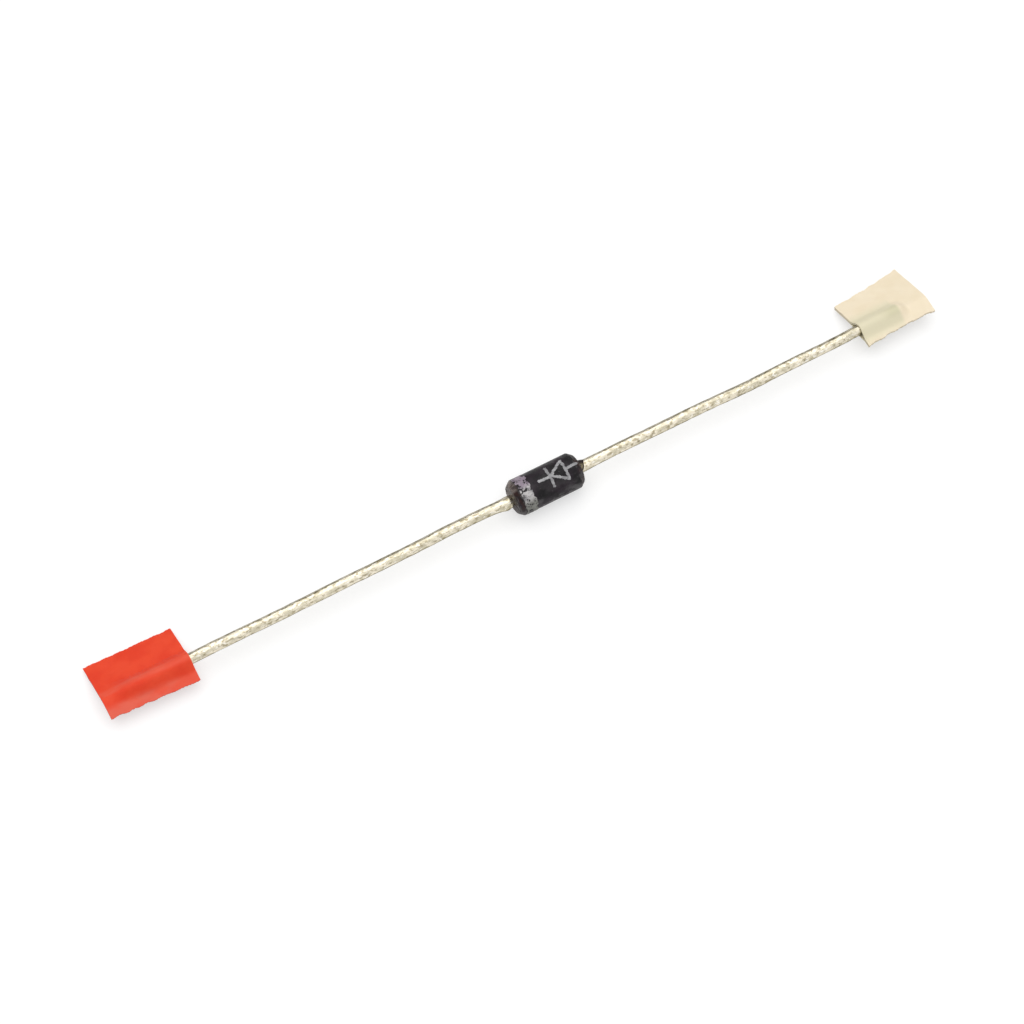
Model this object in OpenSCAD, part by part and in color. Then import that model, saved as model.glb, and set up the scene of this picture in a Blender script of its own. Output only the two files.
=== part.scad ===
// Axial rectifier diode, cut from a taped run, with a tab of carrier tape left on each wire.
// X runs along the wires from cathode to anode, with X = 0 at the middle of the body.
// Y = 0 is the wires' own plane, and Z = 0 is the surface that the part lies on.
// Each tab is two adhesive strips that close round the wire and stick to each other beside it.
// The wide wing of each tab hangs down to the surface, and stops the round body from rolling.

/* [Moulded body] */
// Diameter of the body
body_d = 2.6; // [2.4:0.05:2.8]
// Length of the body
body_len = 5.1; // [4.2:0.05:5.4]
// Length of the bevel at each end
bevel_len = 0.42; // [0.25:0.01:0.6]
// Depth of the bevel, taken off the radius
bevel_depth = 0.3; // [0.15:0.01:0.45]
// Radius that rounds the bevel's two edges
bevel_r = 0.12; // [0.03:0.01:0.2]
// Height of the parting seam where the two mould halves met
seam_h = 0.02; // [0.01:0.005:0.04]
// Width of the parting seam
seam_w = 0.08; // [0.04:0.01:0.15]

/* [Cathode band] */
// Plain length between the body's cathode end and the band
band_inset = 0.44; // [0.3:0.01:0.7]
// Width of the band
band_w = 0.85; // [0.5:0.05:1.3]
// Thickness of the ink
band_t = 0.025; // [0.015:0.005:0.05]

/* [Wires] */
// Diameter of both wires
wire_d = 0.76; // [0.7:0.01:0.86]
// Diameter of the flattened head inside the body
head_d = 1.6; // [1.4:0.05:1.7]
// Thickness of the head
head_t = 0.28; // [0.15:0.01:0.4]
// Length of the cone behind the head
neck_len = 0.22; // [0.1:0.01:0.35]
// Diameter of the cone where it meets the head
neck_d = 1.1; // [0.95:0.05:1.3]

/* [Junction] */
// Side of the square silicon chip
chip_w = 1.1; // [0.8:0.05:1.15]
// Thickness of the chip
chip_t = 0.26; // [0.15:0.01:0.4]
// Diameter of each solder joint
solder_d = 1.0; // [0.7:0.05:1.05]
// Thickness of each solder joint
solder_t = 0.05; // [0.03:0.01:0.1]
// Bulge of the soft coating past the heads
coat_bulge = 0.12; // [0.05:0.01:0.2]

/* [Carrier tape] */
// Clear width between the two tapes
tape_gap = 52.4; // [48:0.1:54]
// Distance of the body from the middle of that gap, towards the anode
body_shift = 0.7; // [0:0.1:1.2]
// Thickness of one strip
tape_t = 0.13; // [0.1:0.01:0.18]
// Distance from the wire's middle to the line where the strips meet
bond_start = 0.85; // [0.75:0.01:1]
// Slope of the strips where they come down off the wire's cut end
ramp_angle = 35; // [30:1:50]
// Free space between the wire's cut end and that slope
ramp_gap = 0.05; // [0.03:0.01:0.15]

/* [Cathode tab] */
// Width of the cathode tape, measured along the wire
cathode_tab_len = 6.3; // [5.8:0.1:7]
// Length of wire held in the cathode tape
cathode_grip = 3.4; // [2.5:0.1:3.6]
// Wide wing at the edge nearer the body
cathode_wide_in = 3.35; // [2.6:0.05:4.2]
// Wide wing at the outer edge
cathode_wide_out = 3.6; // [2.6:0.05:4.2]
// Narrow wing at the edge nearer the body
cathode_narrow_in = 1.6; // [1.1:0.05:2]
// Narrow wing at the outer edge
cathode_narrow_out = 1.3; // [1.1:0.05:2]
// Angle that the narrow wing hangs down by
cathode_narrow_droop = 19; // [0:1:30]

/* [Anode tab] */
// Width of the anode tape, measured along the wire
anode_tab_len = 5.7; // [5.2:0.1:6.5]
// Length of wire held in the anode tape
anode_grip = 3.2; // [2.5:0.1:3.4]
// Wide wing at the edge nearer the body
anode_wide_in = 3.1; // [2.6:0.05:4.2]
// Wide wing at the outer edge
anode_wide_out = 3.85; // [2.6:0.05:4.2]
// Narrow wing at the edge nearer the body
anode_narrow_in = 1.45; // [1.1:0.05:2]
// Narrow wing at the outer edge
anode_narrow_out = 1.2; // [1.1:0.05:2]
// Angle that the narrow wing hangs down by
anode_narrow_droop = 9; // [0:1:30]

/* [Hidden] */
$fn = 64;

body_r = body_d / 2;
wire_r = wire_d / 2;
head_r = head_d / 2;
// The part rests on the band, which stands proud of the body by the ink's thickness.
axis_h = body_r + band_t;
// Inner face of each head, measured from the middle of the body.
head_x = chip_t / 2 + solder_t;
cathode_tape_x = tape_gap / 2 + body_shift;
anode_tape_x = tape_gap / 2 - body_shift;
// The strips' flat sides run a little inside the round of the wire, so that they wrap it.
wrap_in = 0.02;
side_r = wire_r - wrap_in;
arc_steps = 5;
// Sections of a tab are cut from shapes that run this far out, wider than any tab.
reach = 8;

// ---- Plane geometry ----

function unit(v) = v / norm(v);

// Points of the arc of radius r that rounds the corner at b, between the sides to a and c.
function rounded_corner(a, b, c, r) =
    let (to_a = unit(a - b), to_c = unit(c - b),
         half = acos(to_a * to_c) / 2,
         middle = b + unit(to_a + to_c) * r / sin(half),
         first = b + to_a * r / tan(half) - middle,
         last = b + to_c * r / tan(half) - middle,
         span = acos(first * last / (r * r)))
    [for (i = [0 : arc_steps])
        middle + (first * sin(span * (1 - i / arc_steps)) + last * sin(span * i / arc_steps)) / sin(span)];

// Angle that lets a wing of width w touch the surface with the lower edge of its under strip.
function droop_to_surface(w) = asin(axis_h / norm([w, tape_t])) - atan(tape_t / w);

// Directions in the YZ section of a tab, from the wire's middle. hand is 1 for the wide wing
// at +Y and -1 for the narrow one, and face is 1 for the upper strip and -1 for the under strip.
// droops holds the angle of the wide wing and that of the narrow one.
function droop_of(hand, droops) = hand > 0 ? droops[0] : droops[1];
function wing_out(hand, droops) =
    let (droop = droop_of(hand, droops)) [hand * cos(droop), -sin(droop)];
function wing_up(hand, face, droops) =
    let (droop = droop_of(hand, droops)) face * [hand * sin(droop), cos(droop)];

// Slope at which a strip leaves the bond line to climb the wire.
climb = asin(side_r / bond_start);
function climb_normal(hand, face, droops) =
    wing_out(hand, droops) * sin(climb) + wing_up(hand, face, droops) * cos(climb);
function climb_down(hand, face, droops) =
    wing_out(hand, droops) * cos(climb) - wing_up(hand, face, droops) * sin(climb);

// Outline of what lies under both climbs when they pass the wire's middle at radius r. Over the
// wire it has two corners, or one where the wings bend so far that the climbs meet.
function under_climbs(face, droops, r) =
    let (wide = climb_normal(1, face, droops), narrow = climb_normal(-1, face, droops),
         wrapped = 2 * climb + face * (droops[0] + droops[1]),
         top = wrapped > 0 ? [r * wide, r * narrow]
                           : [r * unit(wide + narrow) / cos(wrapped / 2)],
         run = 2 * bond_start)
    concat([top[0] + run * climb_down(1, face, droops)], top,
           [top[len(top) - 1] + run * climb_down(-1, face, droops), [0, -face * bond_start]]);

// Corners of a strip's outer skin along the fold: an arc on the upper strip, one corner below.
function fold_points(face, droops) =
    face > 0
        ? [for (i = [0 : arc_steps])
              let (tilt = droops[0] - (droops[0] + droops[1]) * i / arc_steps)
              tape_t * [sin(tilt), cos(tilt)]]
        : let (tilt = (droops[0] - droops[1]) / 2)
          [-tape_t / cos((droops[0] + droops[1]) / 2) * [sin(tilt), cos(tilt)]];

// ---- Shapes used by several pieces ----

// Solid of revolution about the X axis, from points given as [x, radius].
module turned(points) {
    rotate([0, 90, 0])
        rotate_extrude()
            polygon([for (p = points) [p[1], p[0]]]);
}

// Extrudes a YZ section along X, past both ends of a length that is trimmed afterwards.
module along_x(length) {
    translate([-1, 0, 0])
        rotate([90, 0, 90])
            linear_extrude(length + 2)
                children();
}

// Outside of the moulding, grown outwards by the thickness of a coat of ink.
module moulded_form(coat = 0) {
    end = body_len / 2;
    face_r = body_r - bevel_depth;
    shoulder = end - bevel_len;
    round_to = [for (side = [-1, 1])
        for (p = side < 0
            ? concat(rounded_corner([-end, 0], [-end, face_r], [-shoulder, body_r], bevel_r),
                     rounded_corner([-end, face_r], [-shoulder, body_r], [0, body_r], bevel_r))
            : concat(rounded_corner([0, body_r], [shoulder, body_r], [end, face_r], bevel_r),
                     rounded_corner([shoulder, body_r], [end, face_r], [end, 0], bevel_r))) p];
    if (coat == 0)
        turned(concat([[-end, 0]], round_to, [[end, 0]]));
    else
        turned([[-shoulder, 0], [-shoulder, body_r + coat], [shoulder, body_r + coat], [shoulder, 0]]);
    seam(seam_h + coat);
}

// The parting seam is a thin plate in the plane of the wires that stands out by h all round.
module seam(h) {
    end = body_len / 2;
    bevel = norm([bevel_len, bevel_depth]);
    across = h * (bevel - bevel_depth) / bevel_len;
    along = h * (bevel - bevel_len) / bevel_depth;
    half = [[end + h, body_r - bevel_depth + across],
            [end - bevel_len + along, body_r + h]];
    translate([0, 0, -seam_w / 2])
        linear_extrude(seam_w)
            polygon([half[0], half[1],
                     [-half[1][0], half[1][1]], [-half[0][0], half[0][1]],
                     -half[0], -half[1],
                     [half[1][0], -half[1][1]], [half[0][0], -half[0][1]]]);
}

// Wire with its head, its inner face at head_x and its cut end at x = end.
module headed_wire(end) {
    neck_x = head_x + head_t;
    turned([[head_x, 0], [head_x, head_r], [neck_x, head_r], [neck_x, neck_d / 2],
            [neck_x + neck_len, wire_r], [end, wire_r], [end, 0]]);
}

// Barrel of soft coating between the two heads, bulging past them in one arc.
module coating_form() {
    barrel_r = (head_x * head_x + coat_bulge * coat_bulge) / (2 * coat_bulge);
    sweep = asin(head_x / barrel_r);
    steps = 2 * arc_steps;
    turned(concat([[-head_x, 0]],
                  [for (i = [0 : steps])
                      let (angle = sweep * (2 * i / steps - 1))
                      [barrel_r * sin(angle), head_r + coat_bulge - barrel_r * (1 - cos(angle))]],
                  [[head_x, 0]]));
}

module chip_form() {
    cube([chip_t, chip_w, chip_w], center = true);
}

// Solder joint between the chip and the head at +X.
module solder_form() {
    translate([chip_t / 2, 0, 0])
        rotate([0, 90, 0])
            cylinder(d = solder_d, h = solder_t);
}

module cathode_wire_form() {
    mirror([1, 0, 0])
        headed_wire(cathode_tape_x + cathode_grip);
}

module anode_wire_form() {
    headed_wire(anode_tape_x + anode_grip);
}

// ---- Carrier tape ----
// A tab is built with the wire's axis along X, its inner edge at x = 0 and its outer edge at len.

// Everything inside the outer skin of the strip's wings, down past the other strip.
module wings_section(face, droops) {
    polygon(concat([reach * wing_out(1, droops) + tape_t * wing_up(1, face, droops)],
                   fold_points(face, droops),
                   [reach * wing_out(-1, droops) + tape_t * wing_up(-1, face, droops),
                    [-reach, -face * reach], [reach, -face * reach]]));
}

// Everything on the other strip's side of the bond.
module other_side(face, droops) {
    far = 2 * reach;
    polygon([far * wing_out(1, droops), [0, 0], far * wing_out(-1, droops),
             [-far, -face * far], [far, -face * far]]);
}

// The wire at radius r with the climbs beside it.
module hump_section(face, droops, growth) {
    circle(r = wire_r + growth);
    polygon(under_climbs(face, droops, side_r + growth));
}

// Keeps what is on the wire's side of the slope that comes down past the wire's cut end.
module under_ramp(face, start, height) {
    intersection() {
        children();
        mirror([0, 0, face > 0 ? 0 : 1])
            translate([start, 0, height])
                rotate([0, ramp_angle, 0])
                    translate([-2 * reach, -reach, -2 * reach])
                        cube([4 * reach, 2 * reach, 2 * reach]);
    }
}

// What lies beyond the cut edge of a wing, square to the wing. ends are its widths at x = 0
// and x = len.
module beyond_cut(hand, len, ends, droops) {
    slope = (ends[1] - ends[0]) / len;
    rotate([-hand * droop_of(hand, droops), 0, 0])
        linear_extrude(2 * reach, center = true)
            polygon([[-1, hand * (ends[0] - slope)], [len + 1, hand * (ends[1] + slope)],
                     [len + 1, hand * 2 * reach], [-1, hand * 2 * reach]]);
}

// One strip of a tab: two wings folded along the wire, with a hump over the wire.
module strip(face, len, grip, wide, narrow, droops) {
    ramp_x = grip + ramp_gap;
    intersection() {
        difference() {
            union() {
                along_x(len)
                    wings_section(face, droops);
                under_ramp(face, ramp_x, wire_r + tape_t / cos(ramp_angle))
                    along_x(len)
                        hump_section(face, droops, tape_t);
            }
            along_x(len)
                other_side(face, droops);
            under_ramp(face, ramp_x, wire_r)
                along_x(len)
                    hump_section(face, droops, 0);
            beyond_cut(1, len, wide, droops);
            beyond_cut(-1, len, narrow, droops);
        }
        translate([0, -reach, -reach])
            cube([len, 2 * reach, 2 * reach]);
    }
}

module cathode_strip(face) {
    wide = [cathode_wide_in, cathode_wide_out];
    droops = [droop_to_surface(max(wide)), cathode_narrow_droop];
    translate([-cathode_tape_x, 0, axis_h])
        mirror([1, 0, 0])
            strip(face, cathode_tab_len, cathode_grip, wide,
                  [cathode_narrow_in, cathode_narrow_out], droops);
}

module anode_strip(face) {
    wide = [anode_wide_in, anode_wide_out];
    droops = [droop_to_surface(max(wide)), anode_narrow_droop];
    translate([anode_tape_x, 0, axis_h])
        strip(face, anode_tab_len, anode_grip, wide,
              [anode_narrow_in, anode_narrow_out], droops);
}

// ---- Sub-parts ----

module epoxy_body() {
    color([0.16, 0.14, 0.16])
        translate([0, 0, axis_h])
            difference() {
                moulded_form();
                cathode_wire_form();
                anode_wire_form();
                coating_form();
            }
}

// Ink printed round the moulding, over the parting seam too.
module cathode_band() {
    color([0.62, 0.61, 0.62])
        translate([0, 0, axis_h])
            difference() {
                intersection() {
                    moulded_form(band_t);
                    translate([-body_len / 2 + band_inset, -body_d, -body_d])
                        cube([band_w, 2 * body_d, 2 * body_d]);
                }
                moulded_form();
            }
}

module cathode_lead() {
    color([0.8, 0.78, 0.7])
        translate([0, 0, axis_h])
            cathode_wire_form();
}

module anode_lead() {
    color([0.8, 0.78, 0.7])
        translate([0, 0, axis_h])
            anode_wire_form();
}

module silicon_chip() {
    color([0.35, 0.37, 0.42])
        translate([0, 0, axis_h])
            chip_form();
}

module cathode_solder() {
    color([0.65, 0.65, 0.68])
        translate([0, 0, axis_h])
            mirror([1, 0, 0])
                solder_form();
}

module anode_solder() {
    color([0.65, 0.65, 0.68])
        translate([0, 0, axis_h])
            solder_form();
}

module junction_coating() {
    color([0.9, 0.9, 0.86])
        translate([0, 0, axis_h])
            difference() {
                coating_form();
                chip_form();
                solder_form();
                mirror([1, 0, 0])
                    solder_form();
            }
}

module cathode_tape_upper() {
    color([0.93, 0.28, 0.19])
        cathode_strip(1);
}

module cathode_tape_lower() {
    color([0.93, 0.28, 0.19])
        cathode_strip(-1);
}

module anode_tape_upper() {
    color([0.95, 0.9, 0.78])
        anode_strip(1);
}

module anode_tape_lower() {
    color([0.95, 0.9, 0.78])
        anode_strip(-1);
}

epoxy_body();
cathode_band();
cathode_lead();
anode_lead();
silicon_chip();
cathode_solder();
anode_solder();
junction_coating();
cathode_tape_upper();
cathode_tape_lower();
anode_tape_upper();
anode_tape_lower();
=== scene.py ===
"""Looks of the axial rectifier diode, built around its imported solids.

Shapes are worked out in millimetres, in the frame of the solids: X along the wires from cathode to
anode, Z = 0 on the surface. place() turns them into metres.
"""

import math

import bpy
import numpy as np
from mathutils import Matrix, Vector


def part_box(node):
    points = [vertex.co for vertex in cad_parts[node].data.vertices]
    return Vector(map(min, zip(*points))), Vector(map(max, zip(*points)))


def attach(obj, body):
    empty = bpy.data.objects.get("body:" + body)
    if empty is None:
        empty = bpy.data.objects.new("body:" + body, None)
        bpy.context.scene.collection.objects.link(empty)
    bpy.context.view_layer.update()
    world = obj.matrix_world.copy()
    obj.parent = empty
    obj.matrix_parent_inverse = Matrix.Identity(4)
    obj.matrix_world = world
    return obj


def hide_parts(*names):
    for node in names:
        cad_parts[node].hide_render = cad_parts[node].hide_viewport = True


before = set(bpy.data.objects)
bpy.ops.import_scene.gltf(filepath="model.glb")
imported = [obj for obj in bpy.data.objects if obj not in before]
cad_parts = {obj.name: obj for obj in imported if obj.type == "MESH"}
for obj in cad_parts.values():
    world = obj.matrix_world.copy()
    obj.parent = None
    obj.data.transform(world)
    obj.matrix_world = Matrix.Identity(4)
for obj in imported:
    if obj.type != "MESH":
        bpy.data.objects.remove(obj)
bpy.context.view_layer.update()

MM = 0.001
TAU = 2 * math.pi


def box_mm(node):
    """Lowest and highest corner of a solid, in millimetres."""
    return [np.array(corner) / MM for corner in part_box(node)]


# ---- Sizes in millimetres, as the solids have them, but for the bevel, which is a little smaller ----

SEAM_H = 0.02
SEAM_W = 0.08
BODY_R = 1.3
BEVEL_LEN = 0.35
BEVEL_DEPTH = 0.28
BEVEL_ROUND = 0.12
WIRE_R = 0.38
HEAD_R = 0.8
HEAD_T = 0.28
NECK_R = 0.55
NECK_LEN = 0.22
COAT_BULGE = 0.12
TAPE_T = 0.13
BOND_START = 0.85

BODY_END = box_mm("epoxy_body")[1][0] - SEAM_H
HEAD_X = box_mm("anode_lead")[0][0]
AXIS_H = box_mm("anode_lead")[0][2] + HEAD_R
BAND_LOW, BAND_HIGH = box_mm("cathode_band")
INK_T = AXIS_H - BODY_R - BAND_LOW[2]

# ---- Sizes in millimetres of small marks and wear, which the solids don't have ----

LIP_LEN = 0.5
LIP_W = 0.22
PIT_COUNT = 26
GATE_X = 1.1
GATE_H = 0.045
GATE_HALF_LEN = 0.24
GATE_HALF_W = 0.11
BAND_SPREAD = 0.05
MARK_X = (-0.65, 2.25)
MARK_MIDDLE = 0.26
MARK_HALF = 0.74
MARK_TAIL = 0.85
MARK_T = 0.014
MARK_MARGIN = 0.2
STROKE_HALF = 0.095
CATHODE_FLARE = 0.09
ANODE_FLARE = 0.03
CATHODE_BOW = (0.085, 6.2, 4.2)
ANODE_BOW = (-0.1, 18.0, 5.5)
FOLD_R = 0.12
SOFTNESS = 0.1
WRAP_R = WIRE_R + 0.012

# ---- How fine the meshes are, in millimetres and counts ----

BODY_STEP = 0.035
BAND_STEP = 0.03
MARK_STEP = 0.025
HEAD_STEP = 0.12
WIRE_STEP = 0.085
WIRE_SIDES = 64
TAPE_ROWS = 130
ACROSS_STEP = 0.01


def tab(sign, upper, lead, wide, narrow, narrow_droop, bow, fade, drift, seed):
    """What shapes one tape tab.

    wide and narrow are each wing's widths at the inner and outer edge, and bow is how far their long
    edges curve in. Past the wire's cut end the ridge sinks over the length fade and strays by drift."""
    low, high = box_mm(upper)
    wire_low, wire_high = box_mm(lead)
    inner = high[0] if sign < 0 else low[0]
    cut_end = wire_low[0] if sign < 0 else wire_high[0]
    widest = max(wide)
    droop = math.asin(AXIS_H / math.hypot(widest, TAPE_T)) - math.atan(TAPE_T / widest)
    return {"sign": sign, "inner": inner, "length": high[0] - low[0], "grip": abs(cut_end - inner),
            "wide": wide, "narrow": narrow, "droops": (droop, math.radians(narrow_droop)),
            "bow": bow, "fade": fade, "drift": drift, "seed": seed}


CATHODE_TAB = tab(-1, "cathode_tape_upper", "cathode_lead", wide=(3.35, 3.6), narrow=(1.6, 1.3),
                  narrow_droop=19, bow=0.02, fade=3.1, drift=0.4, seed=11)
ANODE_TAB = tab(1, "anode_tape_upper", "anode_lead", wide=(3.1, 3.85), narrow=(1.45, 1.2),
                narrow_droop=9, bow=0.11, fade=0.9, drift=0, seed=23)

# ---- Camera ----

CAMERA_AIM = Vector((-3.04, -0.78, AXIS_H)) * MM
CAMERA_AZIMUTH = math.radians(-29.64)
CAMERA_ELEVATION = math.radians(60)
CAMERA_DISTANCE = 177.3 * MM
CAMERA_LENS = 92.1
CAMERA_SENSOR = 36


def make_camera():
    camera = bpy.data.objects.new("camera", bpy.data.cameras.new("camera"))
    bpy.context.scene.collection.objects.link(camera)
    back = Vector((math.sin(CAMERA_AZIMUTH) * math.cos(CAMERA_ELEVATION),
                   -math.cos(CAMERA_AZIMUTH) * math.cos(CAMERA_ELEVATION),
                   math.sin(CAMERA_ELEVATION)))
    camera.location = CAMERA_AIM + CAMERA_DISTANCE * back
    camera.rotation_euler = (-back).to_track_quat("-Z", "Y").to_euler()
    camera.data.lens = CAMERA_LENS
    camera.data.sensor_width = CAMERA_SENSOR
    camera.data.clip_start = MM
    bpy.context.scene.camera = camera


# ---- Noise and curves ----

def ripples(points, wavelength, seed, count=16):
    """Smooth, repeatable noise of about unit size: waves that run in random directions."""
    rng = np.random.default_rng(seed)
    points = np.atleast_2d(points)
    directions = rng.normal(size=(count, points.shape[-1]))
    directions /= np.linalg.norm(directions, axis=1, keepdims=True)
    lengths = wavelength * rng.uniform(0.7, 1.5, count)
    phases = rng.uniform(0, TAU, count)
    waves = np.sin(points @ (directions / lengths[:, None]).T * TAU + phases)
    return waves.sum(-1) / math.sqrt(count / 2)


def smoothstep(value, low, high):
    t = np.clip((value - low) / (high - low), 0, 1)
    return t * t * (3 - 2 * t)


def arc_between(a, b, c, radius, steps=6):
    """Points of the arc that rounds the corner at b, between the sides to a and c."""
    a, b, c = (np.array(p, float) for p in (a, b, c))
    to_a = (a - b) / np.linalg.norm(a - b)
    to_c = (c - b) / np.linalg.norm(c - b)
    half = math.acos(float(to_a @ to_c)) / 2
    bisector = to_a + to_c
    middle = b + bisector / np.linalg.norm(bisector) * radius / math.sin(half)
    first = b + to_a * radius / math.tan(half) - middle
    last = b + to_c * radius / math.tan(half) - middle
    span = math.acos(float(first @ last) / radius**2)
    return [middle + (first * math.sin(span * (1 - i / steps)) + last * math.sin(span * i / steps))
            / math.sin(span) for i in range(steps + 1)]


def subdivide(line, step):
    """Adds points to a polyline until no side is longer than step."""
    out = []
    for a, b in zip(line[:-1], line[1:]):
        a, b = np.array(a, float), np.array(b, float)
        count = max(1, math.ceil(np.linalg.norm(b - a) / step))
        out += [a + (b - a) * i / count for i in range(count)]
    return np.array(out + [np.array(line[-1], float)])


# ---- Meshes ----

def place(name, vertices, faces, material, replaces=(), crease=40):
    """Makes a piece from points in millimetres, and hands it to the frame."""
    mesh = bpy.data.meshes.new(name)
    mesh.from_pydata((np.asarray(vertices) * MM).tolist(), [], faces)
    mesh.polygons.foreach_set("use_smooth", [True] * len(mesh.polygons))
    mesh.set_sharp_from_angle(angle=math.radians(crease))
    mesh.materials.append(material)
    piece = bpy.data.objects.new(name, mesh)
    bpy.context.scene.collection.objects.link(piece)
    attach(piece, "root")
    if replaces:
        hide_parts(*replaces)
    return piece


def quads(rows, columns, wrap_rows=False, wrap_columns=False, start=0, flip=False):
    """Faces of a grid of points that is stored row by row."""
    faces = []
    for i in range(rows if wrap_rows else rows - 1):
        for j in range(columns if wrap_columns else columns - 1):
            k, m = (i + 1) % rows, (j + 1) % columns
            face = (start + i * columns + j, start + i * columns + m,
                    start + k * columns + m, start + k * columns + j)
            faces.append(face[::-1] if flip else face)
    return faces


def revolve(profile, angles, shape=None, closed=False):
    """Turns (x, radius) points about the wires' axis. An angle is 0 at the top and grows towards -Y.

    shape(points, normals) returns the displaced points. An open profile ends in a point on the axis."""
    profile = np.asarray(profile, float)
    ends = () if closed else (profile[0], profile[-1])
    ring = profile if closed else profile[1:-1]
    before, after = np.roll(profile, 1, 0), np.roll(profile, -1, 0)
    along = after - before
    if not closed:
        along = along[1:-1]
    along /= np.linalg.norm(along, axis=1, keepdims=True)
    turn = np.stack([-np.sin(angles), np.cos(angles)], -1)
    points = np.empty((len(ring), len(angles), 3))
    points[..., 0] = ring[:, None, 0]
    points[..., 1:] = ring[:, None, 1:] * turn[None]
    normals = np.empty_like(points)
    normals[..., 0] = -along[:, None, 1]
    normals[..., 1:] = along[:, None, 0:1] * turn[None]
    if shape:
        points = shape(points, normals)
    rows, columns = points.shape[:2]
    faces = quads(rows, columns, wrap_rows=closed, wrap_columns=True, flip=True)
    vertices = points.reshape(-1, 3)
    if not closed:
        first, last = len(vertices), len(vertices) + 1
        vertices = np.vstack([vertices, [[p[0], 0, 0] for p in ends]])
        foot = (rows - 1) * columns
        for j in range(columns):
            m = (j + 1) % columns
            faces.append((first, j, m))
            faces.append((last, foot + m, foot + j))
    return vertices + [0, 0, AXIS_H], faces


def slab(inner, outer):
    """Closed sheet between two grids of points, with walls on its four edges."""
    rows, columns = inner.shape[:2]
    count = rows * columns
    faces = quads(rows, columns) + quads(rows, columns, start=count, flip=True)
    rim = ([(i, 0) for i in range(rows)] + [(rows - 1, j) for j in range(1, columns)]
           + [(i, columns - 1) for i in range(rows - 2, -1, -1)]
           + [(0, j) for j in range(columns - 2, 0, -1)])
    loop = [i * columns + j for i, j in rim]
    for a, b in zip(loop, loop[1:] + loop[:1]):
        faces.append((a, b, b + count, a + count))
    return np.vstack([inner.reshape(-1, 3), outer.reshape(-1, 3)]), faces


# ---- Moulded body ----

def body_profile():
    """Closed outline of the moulding's half section: its outside, its two bores and its cavity."""
    end, face_r, shoulder = BODY_END, BODY_R - BEVEL_DEPTH, BODY_END - BEVEL_LEN
    left = (arc_between((-end, 0), (-end, face_r), (-shoulder, BODY_R), BEVEL_ROUND)
            + arc_between((-end, face_r), (-shoulder, BODY_R), (0, BODY_R), BEVEL_ROUND))
    right = [np.array([-x, r]) for x, r in reversed(left)]
    outside = subdivide([(-end, WIRE_R)] + left + right + [(end, WIRE_R)], BODY_STEP)
    neck = HEAD_X + HEAD_T
    bulge_r = (HEAD_X**2 + COAT_BULGE**2) / (2 * COAT_BULGE)
    sweep = math.asin(HEAD_X / bulge_r)
    bulge = [(bulge_r * math.sin(t), HEAD_R + COAT_BULGE - bulge_r * (1 - math.cos(t)))
             for t in np.linspace(sweep, -sweep, 11)]
    inside = ([(neck + NECK_LEN, WIRE_R), (neck, NECK_R), (neck, HEAD_R)] + bulge
              + [(-neck, HEAD_R), (-neck, NECK_R), (-neck - NECK_LEN, WIRE_R)])
    return np.vstack([outside, inside])

def seam_angles(spread=256, dense=9):
    """Angles round the body, closer together at the parting seam."""
    half = math.asin(SEAM_W / BODY_R)
    even = [a for a in np.linspace(0, TAU, spread, endpoint=False)
            if min(abs(a - TAU / 4), abs(a - 3 * TAU / 4)) > half]
    close = [c + t for c in (TAU / 4, 3 * TAU / 4) for t in np.linspace(-half, half, dense)]
    return np.array(sorted(even + close))


def body_pits(points):
    """Small round pits at random places on the moulding's side."""
    rng = np.random.default_rng(8)
    pits = np.zeros(points.shape[:2])
    for _ in range(PIT_COUNT):
        centre = np.array([rng.uniform(-BODY_END, BODY_END), 0, 0])
        angle = rng.uniform(0, TAU)
        centre[1:] = BODY_R * math.sin(angle), BODY_R * math.cos(angle)
        width = rng.uniform(0.025, 0.06)
        away = ((points - centre) ** 2).sum(-1)
        pits -= 0.4 * width * np.exp(-away / (2 * width**2))
    return pits


def seam_flash(points):
    """Ragged line of flash along the parting seam."""
    ragged = 0.65 + 0.35 * ripples(points[..., :2].reshape(-1, 2), 0.5, 5).reshape(points.shape[:2])
    return SEAM_H * np.clip(ragged, 0.1, 1) * np.exp(-((points[..., 2] / (0.42 * SEAM_W)) ** 2))


def gate_scar(points):
    """Rough patch on the +Y side, where the gate was broken off."""
    x, y, z = np.moveaxis(points, -1, 0)
    scar = GATE_H * smoothstep(GATE_HALF_LEN - np.abs(x - GATE_X), 0, 0.07)
    scar *= smoothstep(GATE_HALF_W - np.abs(z), 0, 0.05) * (y > 0)
    return scar * (1 + 0.35 * ripples(points.reshape(-1, 3), 0.1, 6).reshape(x.shape))


def resin_lip(points):
    """How far the resin creeps out along the anode wire, furthest on the upper far side."""
    x, y, z = np.moveaxis(points, -1, 0)
    radius = np.hypot(y, z)
    lip = LIP_LEN * (1 - smoothstep(radius, WIRE_R, WIRE_R + LIP_W)) * (x > BODY_END - 0.01)
    ragged = 0.1 * ripples(points.reshape(-1, 3), 0.5, 7).reshape(x.shape)
    return lip * (0.75 + 0.3 * (y + z) / np.maximum(radius, WIRE_R) + ragged)


def shape_body(points, normals):
    """Adds the grain, the pits, the marks of the mould and the lip round the anode wire."""
    x, y, z = np.moveaxis(points, -1, 0)
    radius = np.hypot(y, z)
    at_ends = np.abs(x) > BODY_END - 0.01
    outside = (radius > WIRE_R + 0.02) & (at_ends | (radius > HEAD_R + COAT_BULGE + 0.05))
    flat = points.reshape(-1, 3)
    grain = (0.0022 * ripples(flat, 0.28, 3) + 0.0014 * ripples(flat, 0.12, 4)).reshape(x.shape)
    push = np.where(outside, grain + body_pits(points) + seam_flash(points) + gate_scar(points), 0)
    shaped = points + normals * push[..., None]
    shaped[..., 0] += resin_lip(points)
    return shaped


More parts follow.
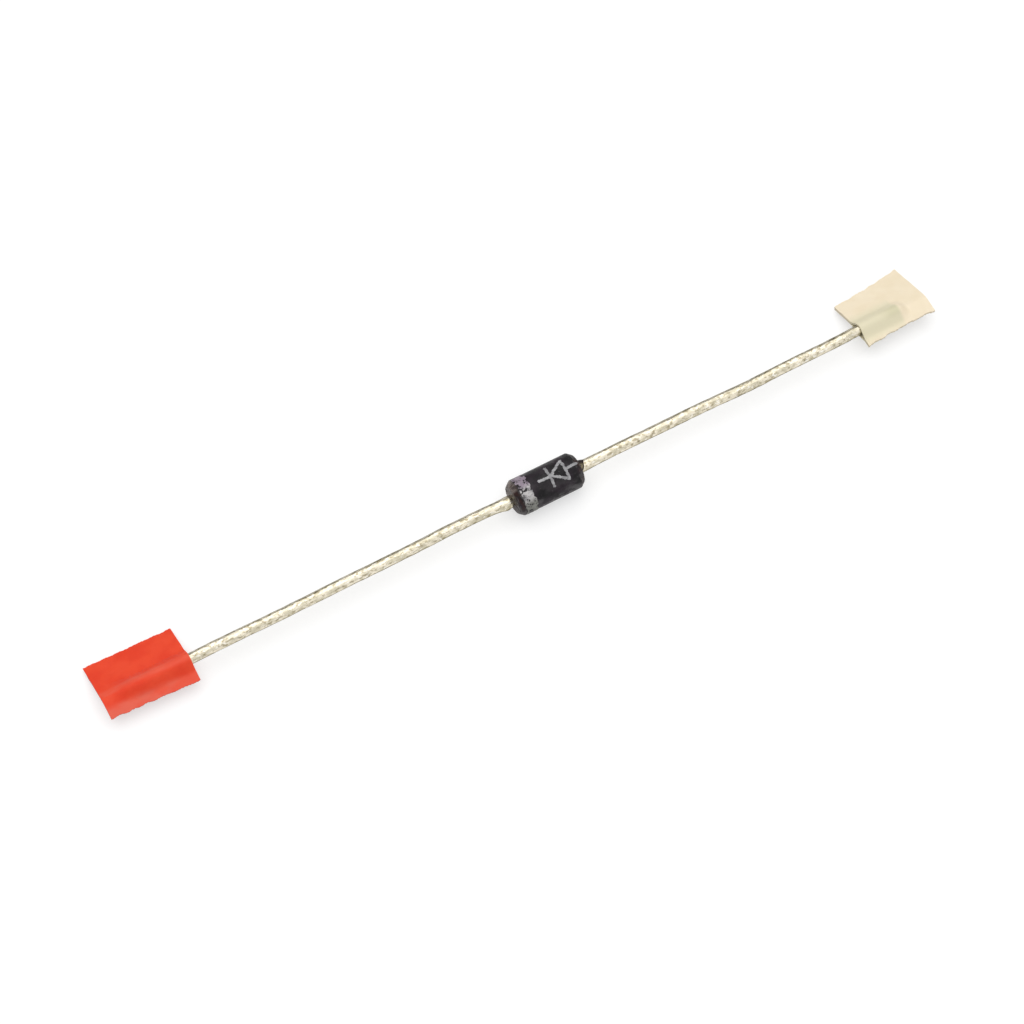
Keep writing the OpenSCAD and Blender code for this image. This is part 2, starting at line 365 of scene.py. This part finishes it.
# ---- Ink printed on the body ----

def ink_level(field, xs, arcs, full_turn):
    """The field's values at a grid's corners, kept below zero on its rim so that the layer closes."""
    level = field(*np.meshgrid(xs, arcs, indexing="ij"))
    rims = [level[0], level[-1]]
    if full_turn:
        level[:, -1] = level[:, 0]
    else:
        rims += [level[:, 0], level[:, -1]]
    for rim in rims:
        rim[:] = np.minimum(rim, -1e-3)
    return level


def traced(level, xs, arcs, full_turn):
    """Points, faces and rim edges of the part of a grid where level is above zero."""
    rows, columns = level.shape[0] - 1, level.shape[1] - 1
    points, index, faces, rim = [], {}, [], {}

    def wrapped(p):
        return (p[0], p[1] % columns) if full_turn else p

    def add(key, x, arc):
        if key not in index:
            index[key] = len(points)
            points.append((x, arc))
        return index[key]

    def corner(p):
        return add((wrapped(p),), xs[p[0]], arcs[wrapped(p)[1]])

    def crossing(p, q):
        t = min(max(level[p] / (level[p] - level[q]), 0.02), 0.98)
        x = xs[p[0]] + (xs[q[0]] - xs[p[0]]) * t
        arc = arcs[p[1]] + (arcs[q[1]] - arcs[p[1]]) * t
        return add(tuple(sorted((wrapped(p), wrapped(q)))), x, arc)

    for i, j in np.ndindex(rows, columns):
        ring = [(i, j), (i + 1, j), (i + 1, j + 1), (i, j + 1)]
        face = []
        for p, q in zip(ring, ring[1:] + ring[:1]):
            if level[p] > 0:
                face.append(corner(p))
            if (level[p] > 0) != (level[q] > 0):
                face.append(crossing(p, q))
        if face:
            faces.append(tuple(face))
        for a, b in zip(face, face[1:] + face[:1]):
            if not rim.pop((b, a), False):
                rim[(a, b)] = True
    return np.array(points), faces, list(rim)


def printed(name, field, x_span, arc_span, step, height, material, replaces=(), full_turn=False):
    """Layer of ink over the parts of the body where field(x, arc) is above zero.

    arc is measured round the body from its top, towards -Y. The layer has clean, closed edges."""
    xs = np.linspace(*x_span, round((x_span[1] - x_span[0]) / step) + 1)
    arcs = np.linspace(*arc_span, round((arc_span[1] - arc_span[0]) / step) + 1)
    flat, faces, rim = traced(ink_level(field, xs, arcs, full_turn), xs, arcs, full_turn)
    rough = np.clip(1 + 0.1 * ripples(flat, 0.15, 31), 0.7, 1.0)
    angle = flat[:, 1] / BODY_R
    layers = [np.stack([flat[:, 0], -r * np.sin(angle), AXIS_H + r * np.cos(angle)], -1)
              for r in (BODY_R - 0.01, BODY_R + height * rough)]
    count = len(flat)
    solid = faces + [tuple(count + v for v in reversed(f)) for f in faces]
    solid += [(b, a, a + count, b + count) for a, b in rim]
    return place(name, np.vstack(layers), solid, material, replaces, crease=30)


def band_field(x, arc):
    """The worn band: an even stripe with soft broken edges and small bare spots."""
    angle = arc.ravel() / BODY_R
    ring = np.stack([x.ravel(), BODY_R * np.cos(angle), BODY_R * np.sin(angle)], -1)
    edge = np.minimum(x - BAND_LOW[0] + BAND_SPREAD, BAND_HIGH[0] - x)
    worn = 0.05 * ripples(ring, 0.5, 41) + 0.03 * ripples(ring, 0.17, 42)
    bare = ripples(ring, 0.6, 43) + 0.55 * ripples(ring, 0.16, 44)
    return np.minimum(edge - 0.03 + 1.4 * worn.reshape(x.shape), 0.12 * (0.85 - bare.reshape(x.shape)))


def segment_distance(x, y, a, b):
    run = (b[0] - a[0], b[1] - a[1])
    t = np.clip(((x - a[0]) * run[0] + (y - a[1]) * run[1]) / (run[0] ** 2 + run[1] ** 2), 0, 1)
    return np.hypot(x - a[0] - t * run[0], y - a[1] - t * run[1])


def mark_field(x, arc):
    """A plain diode symbol whose bar is on the banded side."""
    start, stop = MARK_X
    bar_x, base_x = start + MARK_TAIL, stop - MARK_TAIL
    tip_x = bar_x + 0.05
    y = arc - MARK_MIDDLE
    strokes = [((start, 0), (bar_x, 0)), ((bar_x, -MARK_HALF), (bar_x, MARK_HALF)),
               ((tip_x, 0), (base_x, -MARK_HALF)), ((base_x, -MARK_HALF), (base_x, MARK_HALF)),
               ((base_x, MARK_HALF), (tip_x, 0)), ((base_x, 0), (stop, 0))]
    distance = np.min([segment_distance(x, y, a, b) for a, b in strokes], axis=0)
    points = np.stack([x, arc], -1).reshape(-1, 2)
    worn = (0.012 * ripples(points, 0.3, 51) + 0.012 * ripples(points, 0.11, 52)).reshape(x.shape)
    return STROKE_HALF - distance + worn


# ---- Wires ----

def wire_profile(length):
    """From the middle of the wire's head to its cut end, at x = length."""
    neck = HEAD_X + HEAD_T
    inside = subdivide([(HEAD_X, 0), (HEAD_X, HEAD_R), (neck, HEAD_R), (neck, NECK_R),
                        (neck + NECK_LEN, WIRE_R), (BODY_END - 0.1, WIRE_R)], HEAD_STEP)
    outside = subdivide([(BODY_END - 0.1, WIRE_R), (length - 0.06, WIRE_R)], WIRE_STEP)
    end = [(length - 0.02, WIRE_R - 0.015), (length, WIRE_R - 0.06), (length, 0)]
    return np.vstack([inside[:-1], outside, end])


def wire_shaper(length, bare_end, flare, bow, seed):
    """Slight bends, drawing marks, dents and the flare of tin where the wire leaves the body.

    bow is how far the wire strays towards +Y, where along it, and over what length."""
    def shape(points, normals):
        x = points[..., 0]
        flat = points.reshape(-1, 3)
        along = x.reshape(-1, 1)
        bare = smoothstep(x, BODY_END, BODY_END + 2.5) * (1 - smoothstep(x, bare_end - 1.5, bare_end))
        bend_y = 0.010 * ripples(along, 9.0, seed, 6).reshape(x.shape)
        bend_z = 0.008 * ripples(along, 8.0, seed + 1, 6).reshape(x.shape)
        scratch = 0.0016 * ripples(flat * [0.12, 1, 1], 0.16, seed + 2, 24).reshape(x.shape)
        lumps = 0.0050 * ripples(flat * [0.6, 1, 1], 0.55, seed + 3, 24).reshape(x.shape)
        collar = smoothstep(x, BODY_END - 0.02, BODY_END + 0.3)
        collar *= 1 - smoothstep(x, BODY_END + 0.3, BODY_END + 1.6)
        collar *= 1 + 0.25 * ripples(flat, 0.6, seed + 4).reshape(x.shape)
        free = (x > BODY_END - 0.02) & (x < length - 0.05)
        push = np.where(free, scratch + lumps * bare + flare * collar, 0)
        points = points + normals * push[..., None]
        sag = 0.4 * flare * collar
        stray = bow[0] * np.exp(-(((x - bow[1]) / bow[2]) ** 2))
        points[..., 1] += (bend_y + stray) * bare - sag
        points[..., 2] += bend_z * bare - sag
        return points
    return shape


def make_wire(name, node, sign, tape, flare, bow, material, seed):
    low, high = box_mm(node)
    length = max(abs(low[0]), abs(high[0]))
    angles = np.linspace(0, TAU, WIRE_SIDES, endpoint=False)
    shaper = wire_shaper(length, abs(tape["inner"]), flare, bow, seed)
    vertices, faces = revolve(wire_profile(length), angles, shaper)
    if sign < 0:
        vertices = vertices * [-1, 1, 1]
        faces = [f[::-1] for f in faces]
    return place(name, vertices, faces, material, (node,))


# ---- Tape ----

def bond_line(q, droops):
    """(y, z) from the wire's middle of the line where both strips meet.

    q runs along that line, and is above zero on the wide wing."""
    droop = droops[1] + (droops[0] - droops[1]) * smoothstep(q, -0.3, 0.3)
    soft = np.sqrt(q * q + FOLD_R**2)
    return np.stack([q * np.cos(droop), -soft * np.sin(droop)], -1)


def round_wire(q, face, droops):
    """Inner surface of a strip round the wire: two straight climbs that touch the wire, and an arc."""
    feet = bond_line(np.array([BOND_START, -BOND_START]), droops)
    lean = np.arccos(WRAP_R / np.linalg.norm(feet, axis=1))
    angle = np.arctan2(feet[:, 1], feet[:, 0]) % TAU
    angle[0] -= TAU
    if face > 0:
        arc = np.linspace(angle[0] + lean[0], angle[1] - lean[1], 60)
    else:
        arc = np.linspace(angle[0] - lean[0], angle[1] + lean[1] - TAU, 60)
    over = WRAP_R * np.stack([np.cos(arc), np.sin(arc)], -1)
    line = np.vstack([feet[:1], over, feet[1:]])
    run = np.concatenate([[0], np.cumsum(np.linalg.norm(np.diff(line, axis=0), axis=1))])
    wanted = (BOND_START - q) / (2 * BOND_START) * run[-1]
    string = np.stack([np.interp(wanted, run, line[:, k]) for k in (0, 1)], -1)
    return np.where((np.abs(q) < BOND_START)[:, None], string, bond_line(q, droops))


def softened(curve, step):
    """Rounds a curve's corners by averaging each point with its neighbours."""
    reach = int(3 * SOFTNESS / step)
    weights = np.exp(-0.5 * (np.arange(-reach, reach + 1) * step / SOFTNESS) ** 2)
    weights /= weights.sum()
    padded = np.vstack([2 * curve[0] - curve[reach:0:-1], curve, 2 * curve[-1] - curve[-2:-reach - 2:-1]])
    return np.stack([np.convolve(padded[:, k], weights, "valid") for k in (0, 1)], -1)


def wing_edges(shape, x):
    """How far the wide wing and the narrow wing reach, at each x."""
    along = x / shape["length"]
    bow = shape["bow"] * 4 * along * (1 - along)
    edges = []
    for k, (inner, outer) in enumerate((shape["wide"], shape["narrow"])):
        cut = (0.022 * ripples(x[:, None], 1.1, shape["seed"] + k)
               + 0.01 * ripples(x[:, None], 0.25, shape["seed"] + 2 + k))
        edges.append((inner + (outer - inner) * along - bow + cut - 0.02)[:, None])
    return edges


def across(wide, narrow, near=1.0, far=1.1):
    """Grid places across the strip, closer together over the wire, from -near to far."""
    return np.hstack([-narrow + (narrow - near) * np.linspace(0, 1, 10)[None, :-1],
                      np.repeat(np.linspace(-near, far, 64)[None], len(wide), 0),
                      far + (wide - far) * np.linspace(0, 1, 34)[None, 1:]])


def strip_grids(shape, face):
    """Inner and outer surface of one strip of a tab, as grids along x and across the wings."""
    fine = np.arange(-6, 6.001, ACROSS_STEP)
    flat = bond_line(fine, shape["droops"])
    hump = softened(round_wire(fine, face, shape["droops"]), ACROSS_STEP)
    x = np.linspace(0, shape["length"], TAPE_ROWS)
    q = across(*wing_edges(shape, x))
    hold = 1 - smoothstep(x, shape["grip"] + 0.03, shape["grip"] + shape["fade"])
    ridge_q = q - (shape["drift"] * smoothstep(x, shape["grip"], shape["length"]))[:, None]
    points = np.empty(q.shape + (3,))
    points[..., 0] = x[:, None]
    for k in (0, 1):
        rise = np.interp(ridge_q, fine, hump[:, k] - flat[:, k])
        points[..., k + 1] = np.interp(q, fine, flat[:, k]) + hold[:, None] * rise
    spots = np.stack([points[..., 0], q], -1).reshape(-1, 2)
    wave = 0.02 * ripples(spots, 3.2, shape["seed"] + 5) + 0.006 * ripples(spots, 0.9, shape["seed"] + 6)
    points[..., 2] += wave.reshape(q.shape) * smoothstep(np.abs(q), 0.5, 2.2)
    normals = np.cross(np.gradient(points, axis=0), np.gradient(points, axis=1))
    normals /= np.linalg.norm(normals, axis=-1, keepdims=True)
    return points, points + face * TAPE_T * normals


def make_strip(name, node, shape, face, material):
    vertices, faces = slab(*strip_grids(shape, face))
    vertices[:, 2] = np.maximum(vertices[:, 2] + AXIS_H, 0.0)
    vertices[:, 0] = shape["inner"] + shape["sign"] * vertices[:, 0]
    if face * shape["sign"] > 0:
        faces = [f[::-1] for f in faces]
    return place(name, vertices, faces, material, (node,), crease=50)



# ---- Materials ----

class Finish:
    """Node material around one Principled shader. Texture coordinates are in millimetres."""

    def __init__(self, name, **constants):
        self.material = bpy.data.materials.new(name)
        self.material.use_nodes = True
        self.tree = self.material.node_tree
        self.shader = self.tree.nodes["Principled BSDF"]
        for socket, value in constants.items():
            self.shader.inputs[socket.replace("_", " ")].default_value = value
        coordinates = self.tree.nodes.new("ShaderNodeTexCoord")
        self.place = self.node("ShaderNodeVectorMath", "Vector", operation="SCALE",
                               Vector=coordinates.outputs["Object"], Scale=1 / MM)
        split = self.tree.nodes.new("ShaderNodeSeparateXYZ")
        self.feed(split.inputs[0], self.place)
        self.x, self.y, self.z = split.outputs

    def feed(self, socket, value):
        if isinstance(value, bpy.types.NodeSocket):
            self.tree.links.new(value, socket)
        else:
            socket.default_value = value

    def node(self, kind, output, **inputs):
        """Adds a node. Names that are attributes of the node are set, and the rest are sockets."""
        node = self.tree.nodes.new(kind)
        for name, value in inputs.items():
            if hasattr(node, name) and name not in node.inputs:
                setattr(node, name, value)
        for name, value in inputs.items():
            if name in node.inputs:
                self.feed(node.inputs[name], value)
        return node.outputs[output]

    def math(self, operation, *values):
        node = self.tree.nodes.new("ShaderNodeMath")
        node.operation = operation
        for socket, value in zip(node.inputs, values):
            self.feed(socket, value)
        return node.outputs[0]

    def times(self, a, b):
        return self.math("MULTIPLY", a, b)

    def away(self, value, middle):
        """Distance of value from middle."""
        return self.math("ABSOLUTE", self.math("SUBTRACT", value, middle))

    def noise(self, scale, detail, stretch):
        where = self.node("ShaderNodeVectorMath", "Vector", operation="MULTIPLY", Vector=self.place)
        where.node.inputs[1].default_value = stretch
        return self.node("ShaderNodeTexNoise", "Fac", Vector=where, Scale=scale, Detail=detail)

    def step(self, value, low, high, start=0.0, end=1.0):
        """Smooth step of value from low to high, between start and end."""
        node = self.tree.nodes.new("ShaderNodeMapRange")
        node.interpolation_type = "SMOOTHSTEP"
        for socket, v in zip(node.inputs, (value, low, high, start, end)):
            self.feed(socket, v)
        return node.outputs[0]

    def patches(self, scale, low, high, start=0.0, end=1.0, detail=3.0, stretch=(1, 1, 1)):
        """Smooth step of noise, whose spots are about 1 / scale millimetres wide."""
        return self.step(self.noise(scale, detail, stretch), low, high, start, end)

    def mix(self, factor, a, b):
        node = self.tree.nodes.new("ShaderNodeMix")
        node.data_type = "RGBA"
        for socket, value in ((node.inputs[0], factor), (node.inputs[6], a), (node.inputs[7], b)):
            self.feed(socket, value if isinstance(value, (float, bpy.types.NodeSocket)) else (*value, 1))
        return node.outputs[2]

    def colour(self, value):
        self.feed(self.shader.inputs["Base Color"], value)

    def rough(self, scale, low, high, detail=3.0, stretch=(1, 1, 1)):
        """Roughness that wanders from low to high."""
        self.feed(self.shader.inputs["Roughness"], self.patches(scale, 0.3, 0.7, low, high, detail, stretch))

    def bump(self, depth, scale, detail=3.0, stretch=(1, 1, 1)):
        """Bump of that depth in millimetres, on top of the bumps before it."""
        below = self.shader.inputs["Normal"].links
        inputs = {"Height": self.noise(scale, detail, stretch), "Distance": depth * MM}
        if below:
            inputs["Normal"] = below[0].from_socket
        self.feed(self.shader.inputs["Normal"], self.node("ShaderNodeBump", "Normal", **inputs))


def worn_ends(f, body):
    """Rusty brown ends, rubbed corners, a painted highlight on the far side of the cathode bevel and bare
    resin at the anode wire.
    """
    rust, rubbed, bevel_highlight_grey = (0.042, 0.018, 0.015), (0.15, 0.14, 0.14), (0.2, 0.165, 0.15)
    resin, tan = (0.018, 0.011, 0.008), (0.26, 0.22, 0.13)
    reach = f.math("ABSOLUTE", f.x)
    rusty = f.times(f.step(reach, BODY_END - 0.5, BODY_END - 0.15), f.patches(2.4, 0.42, 0.62, 0.0, 0.8))
    body = f.mix(rusty, body, rust)
    corner = f.step(f.away(reach, BODY_END - BEVEL_LEN), 0.02, 0.12, 1.0, 0.0)
    rim = f.step(f.away(reach, BODY_END - 0.04), 0.02, 0.1, 1.0, 0.0)
    wear = f.times(f.math("ADD", corner, rim), f.patches(3.5, 0.42, 0.7))
    body = f.mix(f.times(wear, 0.6), body, rubbed)
    # Painted highlight: patchy light grey on the far side of the cathode bevel.
    bevel_highlight = f.times(f.step(f.x, 0.25 - BODY_END, 0.45 - BODY_END, 1.0, 0.0), f.step(f.y, -0.25, 0.1))
    bevel_highlight = f.times(bevel_highlight, f.patches(5.0, 0.4, 0.58, 0.25, 1.0, 2.0, (0.3, 1, 0.5)))
    body = f.mix(bevel_highlight, body, bevel_highlight_grey)
    near_side = f.times(f.step(f.y, -0.2, 0.1, 1.0, 0.0), f.patches(4.5, 0.42, 0.56))
    return f.mix(f.step(f.x, BODY_END + 0.01, BODY_END + 0.08, 0.0, 0.9), body, f.mix(near_side, resin, tan))


def moulding():
    """Black compound with a purple tint, a painted grey sheen low on the near side, with pale specks and worn
    ends.
    """
    f = Finish("moulding_compound", Specular_IOR_Level=0.2)
    purple_black, black = (0.019, 0.012, 0.018), (0.006, 0.005, 0.006)
    painted_sheen_grey, speck = (0.1, 0.095, 0.098), (0.12, 0.115, 0.12)
    body = f.mix(f.patches(0.9, 0.38, 0.62), purple_black, black)
    # Painted sheen: lighter grey in patches on the lower, near side of the body, fading upwards and towards
    # the far side.
    low = f.times(f.step(f.z, AXIS_H + 0.1, AXIS_H + 1.0, 1.0, 0.25), f.step(f.y, -0.2, 0.7, 1.0, 0.5))
    painted_sheen = f.times(low, f.patches(1.5, 0.42, 0.64, 0.0, 0.8, 4.0, (0.6, 1, 1)))
    body = f.mix(painted_sheen, body, painted_sheen_grey)
    body = f.mix(f.times(f.patches(11.0, 0.66, 0.74, detail=2.0), 0.5), body, speck)
    f.colour(worn_ends(f, body))
    f.rough(2.2, 0.36, 0.52)
    f.bump(0.006, 9.0, 4.0)
    f.bump(0.003, 28.0, 2.0)
    return f.material


def band_ink():
    """Worn ink: mauve over the top, pale on the near side and green-grey below."""
    f = Finish("band_ink")
    grey, pale, mauve = (0.25, 0.24, 0.25), (0.55, 0.53, 0.53), (0.27, 0.2, 0.27)
    green, bare = (0.17, 0.175, 0.145), (0.05, 0.045, 0.05)
    tone = f.mix(f.patches(2.4, 0.38, 0.62, detail=4.0), grey, pale)
    tone = f.mix(f.step(f.y, -0.4, 0.05, 0.0, 0.8), tone, mauve)
    tone = f.mix(f.step(f.z, AXIS_H + 0.55, AXIS_H + 1.05, 0.8, 0.0), tone, green)
    f.colour(f.mix(f.patches(6.0, 0.5, 0.68, 0.0, 0.75), tone, bare))
    f.rough(5.0, 0.42, 0.62)
    f.bump(0.006, 14.0)
    return f.material


def mark_ink():
    f = Finish("mark_ink")
    grey, pale, bare = (0.24, 0.235, 0.245), (0.42, 0.415, 0.425), (0.1, 0.095, 0.1)
    tone = f.mix(f.patches(2.4, 0.36, 0.66, detail=4.0), grey, pale)
    f.colour(f.mix(f.patches(7.0, 0.52, 0.72, 0.0, 0.5), tone, bare))
    f.rough(5.0, 0.42, 0.62)
    f.bump(0.006, 14.0)
    return f.material


def tin():
    """Dull tin with darker and brighter flecks drawn out along the wire."""
    f = Finish("tinned_copper", Metallic=1.0, Specular_Tint=(0.02, 0.02, 0.015, 1))
    warm, dull = (0.86, 0.79, 0.64), (0.62, 0.57, 0.43)
    brown, bright = (0.30, 0.25, 0.14), (0.95, 0.92, 0.84)
    tone = f.mix(f.patches(2.6, 0.38, 0.62, stretch=(0.6, 1, 1)), warm, dull)
    tone = f.mix(f.patches(5.2, 0.5, 0.66, 0.0, 0.75, stretch=(0.55, 1, 1)), tone, brown)
    tone = f.mix(f.patches(6.0, 0.58, 0.68, 0.0, 0.8, 2.0, (0.5, 1, 1)), tone, bright)
    f.colour(tone)
    f.rough(4.0, 0.18, 0.4, stretch=(0.4, 1, 1))
    f.bump(0.006, 9.0, stretch=(0.15, 1, 1))
    f.bump(0.022, 6.0, stretch=(0.7, 1, 1))
    return f.material


def red_tape():
    """Red tape: cleaner and deeper in colour beside the ridge, with a painted pink sheen on the near wing and
    over the top of the ridge.
    """
    f = Finish("red_tape", Specular_IOR_Level=0.3)
    deep, light, sheen_pink = (0.82, 0.046, 0.011), (0.87, 0.066, 0.019), (0.80, 0.15, 0.095)
    base = f.mix(f.patches(0.9, 0.3, 0.7), deep, light)
    skewed = f.math("ADD", f.y, f.times(f.math("SUBTRACT", CATHODE_TAB["inner"], f.x), -0.07))
    # Painted sheen: pink on the near wing, and a painted highlight along the top of the ridge.
    wing = f.step(skewed, -1.15, -0.75, 0.7, 0.0)
    ridge_sheen = f.step(f.math("ABSOLUTE", skewed), 0.1, 0.38, 0.4, 0.0)
    # Patches that break up the painted sheen.
    worn = f.patches(1.3, 0.32, 0.6, 0.45, 1.0, stretch=(0.5, 1, 1))
    f.colour(f.mix(f.times(f.math("ADD", wing, ridge_sheen), worn), base, sheen_pink))
    f.rough(2.0, 0.5, 0.62)
    f.bump(0.005, 6.0, 4.0)
    return f.material


def pale_tape():
    """Pale tape: a painted grey-green shadow of the wire seen through it, where the wire lies under it,
    strongest at the wire's cut end.
    """
    f = Finish("pale_tape", Specular_IOR_Level=0.3)
    cream, light = (0.90, 0.775, 0.565), (0.93, 0.81, 0.61)
    wire_shadow, deep_wire_shadow = (0.76, 0.715, 0.51), (0.66, 0.62, 0.41)
    wire_end = ANODE_TAB["inner"] + ANODE_TAB["grip"]
    aside = f.math("ABSOLUTE", f.y)
    # Painted shadow of the wire seen through the tape: over the wire where the tape holds it, darkest towards
    # the wire's cut end.
    held = f.step(f.x, wire_end - 0.1, wire_end + 0.25, 1.0, 0.0)
    tip = f.times(f.step(f.x, wire_end - 1.6, wire_end - 0.3), f.step(aside, 0.15, 0.6, 0.7, 0.0))
    base = f.mix(f.patches(0.9, 0.3, 0.7), cream, light)
    base = f.mix(f.times(held, f.step(aside, 0.6, 1.7, 0.8, 0.0)), base, wire_shadow)
    f.colour(f.mix(f.times(held, tip), base, deep_wire_shadow))
    f.rough(2.0, 0.45, 0.6)
    f.bump(0.005, 6.0, 4.0)
    return f.material


def inner_finish(name, light, dark, scale, metallic=0.0):
    f = Finish(name, Metallic=metallic)
    f.colour(f.mix(f.patches(scale, 0.35, 0.65), dark, light))
    f.rough(2 * scale, 0.3, 0.5)
    f.bump(0.003, 3 * scale)
    return f.material


# ---- Floor and light, in metres and watts ----

FLOOR_HALF = 3.0
FLOOR_DROP = 1e-5
FLOOR_GREY = (0.5, 0.5, 0.5, 1)
FLOOR_GLOW = 0.56
WHITE = (1, 1, 1, 1)
WORLD_LIGHT = 0.32
LAMPS = {
    "softbox": {"size": 0.9, "power": 3.45, "position": (0.0, 0.15, 0.55)},
    "fill": {"size": 0.8, "power": 1.6, "position": (0.1, -0.6, 0.42)},
}


def combine(tree, operation, a, b):
    """Math node of a node tree, with the socket a and the socket or number b."""
    node = tree.nodes.new("ShaderNodeMath")
    node.operation = operation
    tree.links.new(a, node.inputs[0])
    if isinstance(b, float):
        node.inputs[1].default_value = b
    else:
        tree.links.new(b, node.inputs[1])
    return node.outputs[0]


def floor_material():
    """Grey that glows to white for the camera, in reflections and through glass."""
    material = bpy.data.materials.new("floor")
    material.use_nodes = True
    tree = material.node_tree
    shader = tree.nodes["Principled BSDF"]
    constants = {"Base Color": FLOOR_GREY, "Roughness": 0.9, "Specular IOR Level": 0.0,
                 "Emission Color": WHITE}
    for socket, value in constants.items():
        shader.inputs[socket].default_value = value
    rays = tree.nodes.new("ShaderNodeLightPath")
    seen = rays.outputs["Is Camera Ray"]
    for kind in ("Is Glossy Ray", "Is Transmission Ray"):
        seen = combine(tree, "MAXIMUM", seen, rays.outputs[kind])
    tree.links.new(combine(tree, "MULTIPLY", seen, FLOOR_GLOW), shader.inputs["Emission Strength"])
    return material


def make_floor():
    """Pale floor that keeps the part's shadow and shows white."""
    corners = [(FLOOR_HALF * x, FLOOR_HALF * y, -FLOOR_DROP) for x, y in ((-1, -1), (1, -1), (1, 1), (-1, 1))]
    mesh = bpy.data.meshes.new("floor")
    mesh.from_pydata(corners, [], [(0, 1, 2, 3)])
    mesh.materials.append(floor_material())
    floor = bpy.data.objects.new("floor", mesh)
    bpy.context.scene.collection.objects.link(floor)


def make_lamp(name, size, power, position):
    """Square lamp that points at the part."""
    lamp = bpy.data.lights.new(name, "AREA")
    lamp.shape = "SQUARE"
    lamp.size = size
    lamp.energy = power
    holder = bpy.data.objects.new(name, lamp)
    bpy.context.scene.collection.objects.link(holder)
    holder.location = position
    holder.rotation_euler = (-Vector(position)).to_track_quat("-Z", "Y").to_euler()


def make_light():
    world = bpy.data.worlds.new("studio")
    bpy.context.scene.world = world
    world.use_nodes = True
    background = world.node_tree.nodes["Background"]
    background.inputs["Color"].default_value = WHITE
    background.inputs["Strength"].default_value = WORLD_LIGHT
    for name, lamp in LAMPS.items():
        make_lamp(name, **lamp)
    bpy.context.scene.view_settings.view_transform = "Standard"


# ---- The part ----

def make_body():
    vertices, faces = revolve(body_profile(), seam_angles(), shape_body, closed=True)
    place("moulded_body", vertices, faces, moulding(), ("epoxy_body",))
    half_turn = math.pi * BODY_R
    printed("printed_band", band_field, (BAND_LOW[0] - 0.06, BAND_HIGH[0]), (-half_turn, half_turn),
            BAND_STEP, INK_T, band_ink(), ("cathode_band",), full_turn=True)
    mark_reach = MARK_HALF + MARK_MARGIN
    printed("printed_symbol", mark_field, (MARK_X[0] - 0.2, MARK_X[1] + 0.15),
            (MARK_MIDDLE - mark_reach, MARK_MIDDLE + mark_reach), MARK_STEP, MARK_T, mark_ink())


def make_wires():
    tinned = tin()
    make_wire("cathode_wire", "cathode_lead", -1, CATHODE_TAB, CATHODE_FLARE, CATHODE_BOW, tinned, 61)
    make_wire("anode_wire", "anode_lead", 1, ANODE_TAB, ANODE_FLARE, ANODE_BOW, tinned, 71)


def make_tape():
    red, pale = red_tape(), pale_tape()
    make_strip("red_tape_upper", "cathode_tape_upper", CATHODE_TAB, 1, red)
    make_strip("red_tape_lower", "cathode_tape_lower", CATHODE_TAB, -1, red)
    make_strip("pale_tape_upper", "anode_tape_upper", ANODE_TAB, 1, pale)
    make_strip("pale_tape_lower", "anode_tape_lower", ANODE_TAB, -1, pale)


def finish_inside():
    """Materials of the sealed solids, which keep their shapes."""
    solder = inner_finish("solder", (0.55, 0.55, 0.57), (0.42, 0.42, 0.44), 4.0, 1.0)
    finishes = {
        "silicon_chip": inner_finish("silicon", (0.24, 0.25, 0.3), (0.16, 0.17, 0.2), 3.0),
        "cathode_solder": solder,
        "anode_solder": solder,
        "junction_coating": inner_finish("coating", (0.82, 0.82, 0.78), (0.74, 0.74, 0.7), 2.0),
    }
    for node, material in finishes.items():
        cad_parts[node].data.materials.clear()
        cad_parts[node].data.materials.append(material)


make_camera()
make_floor()
make_light()
make_body()
make_wires()
make_tape()
finish_inside()
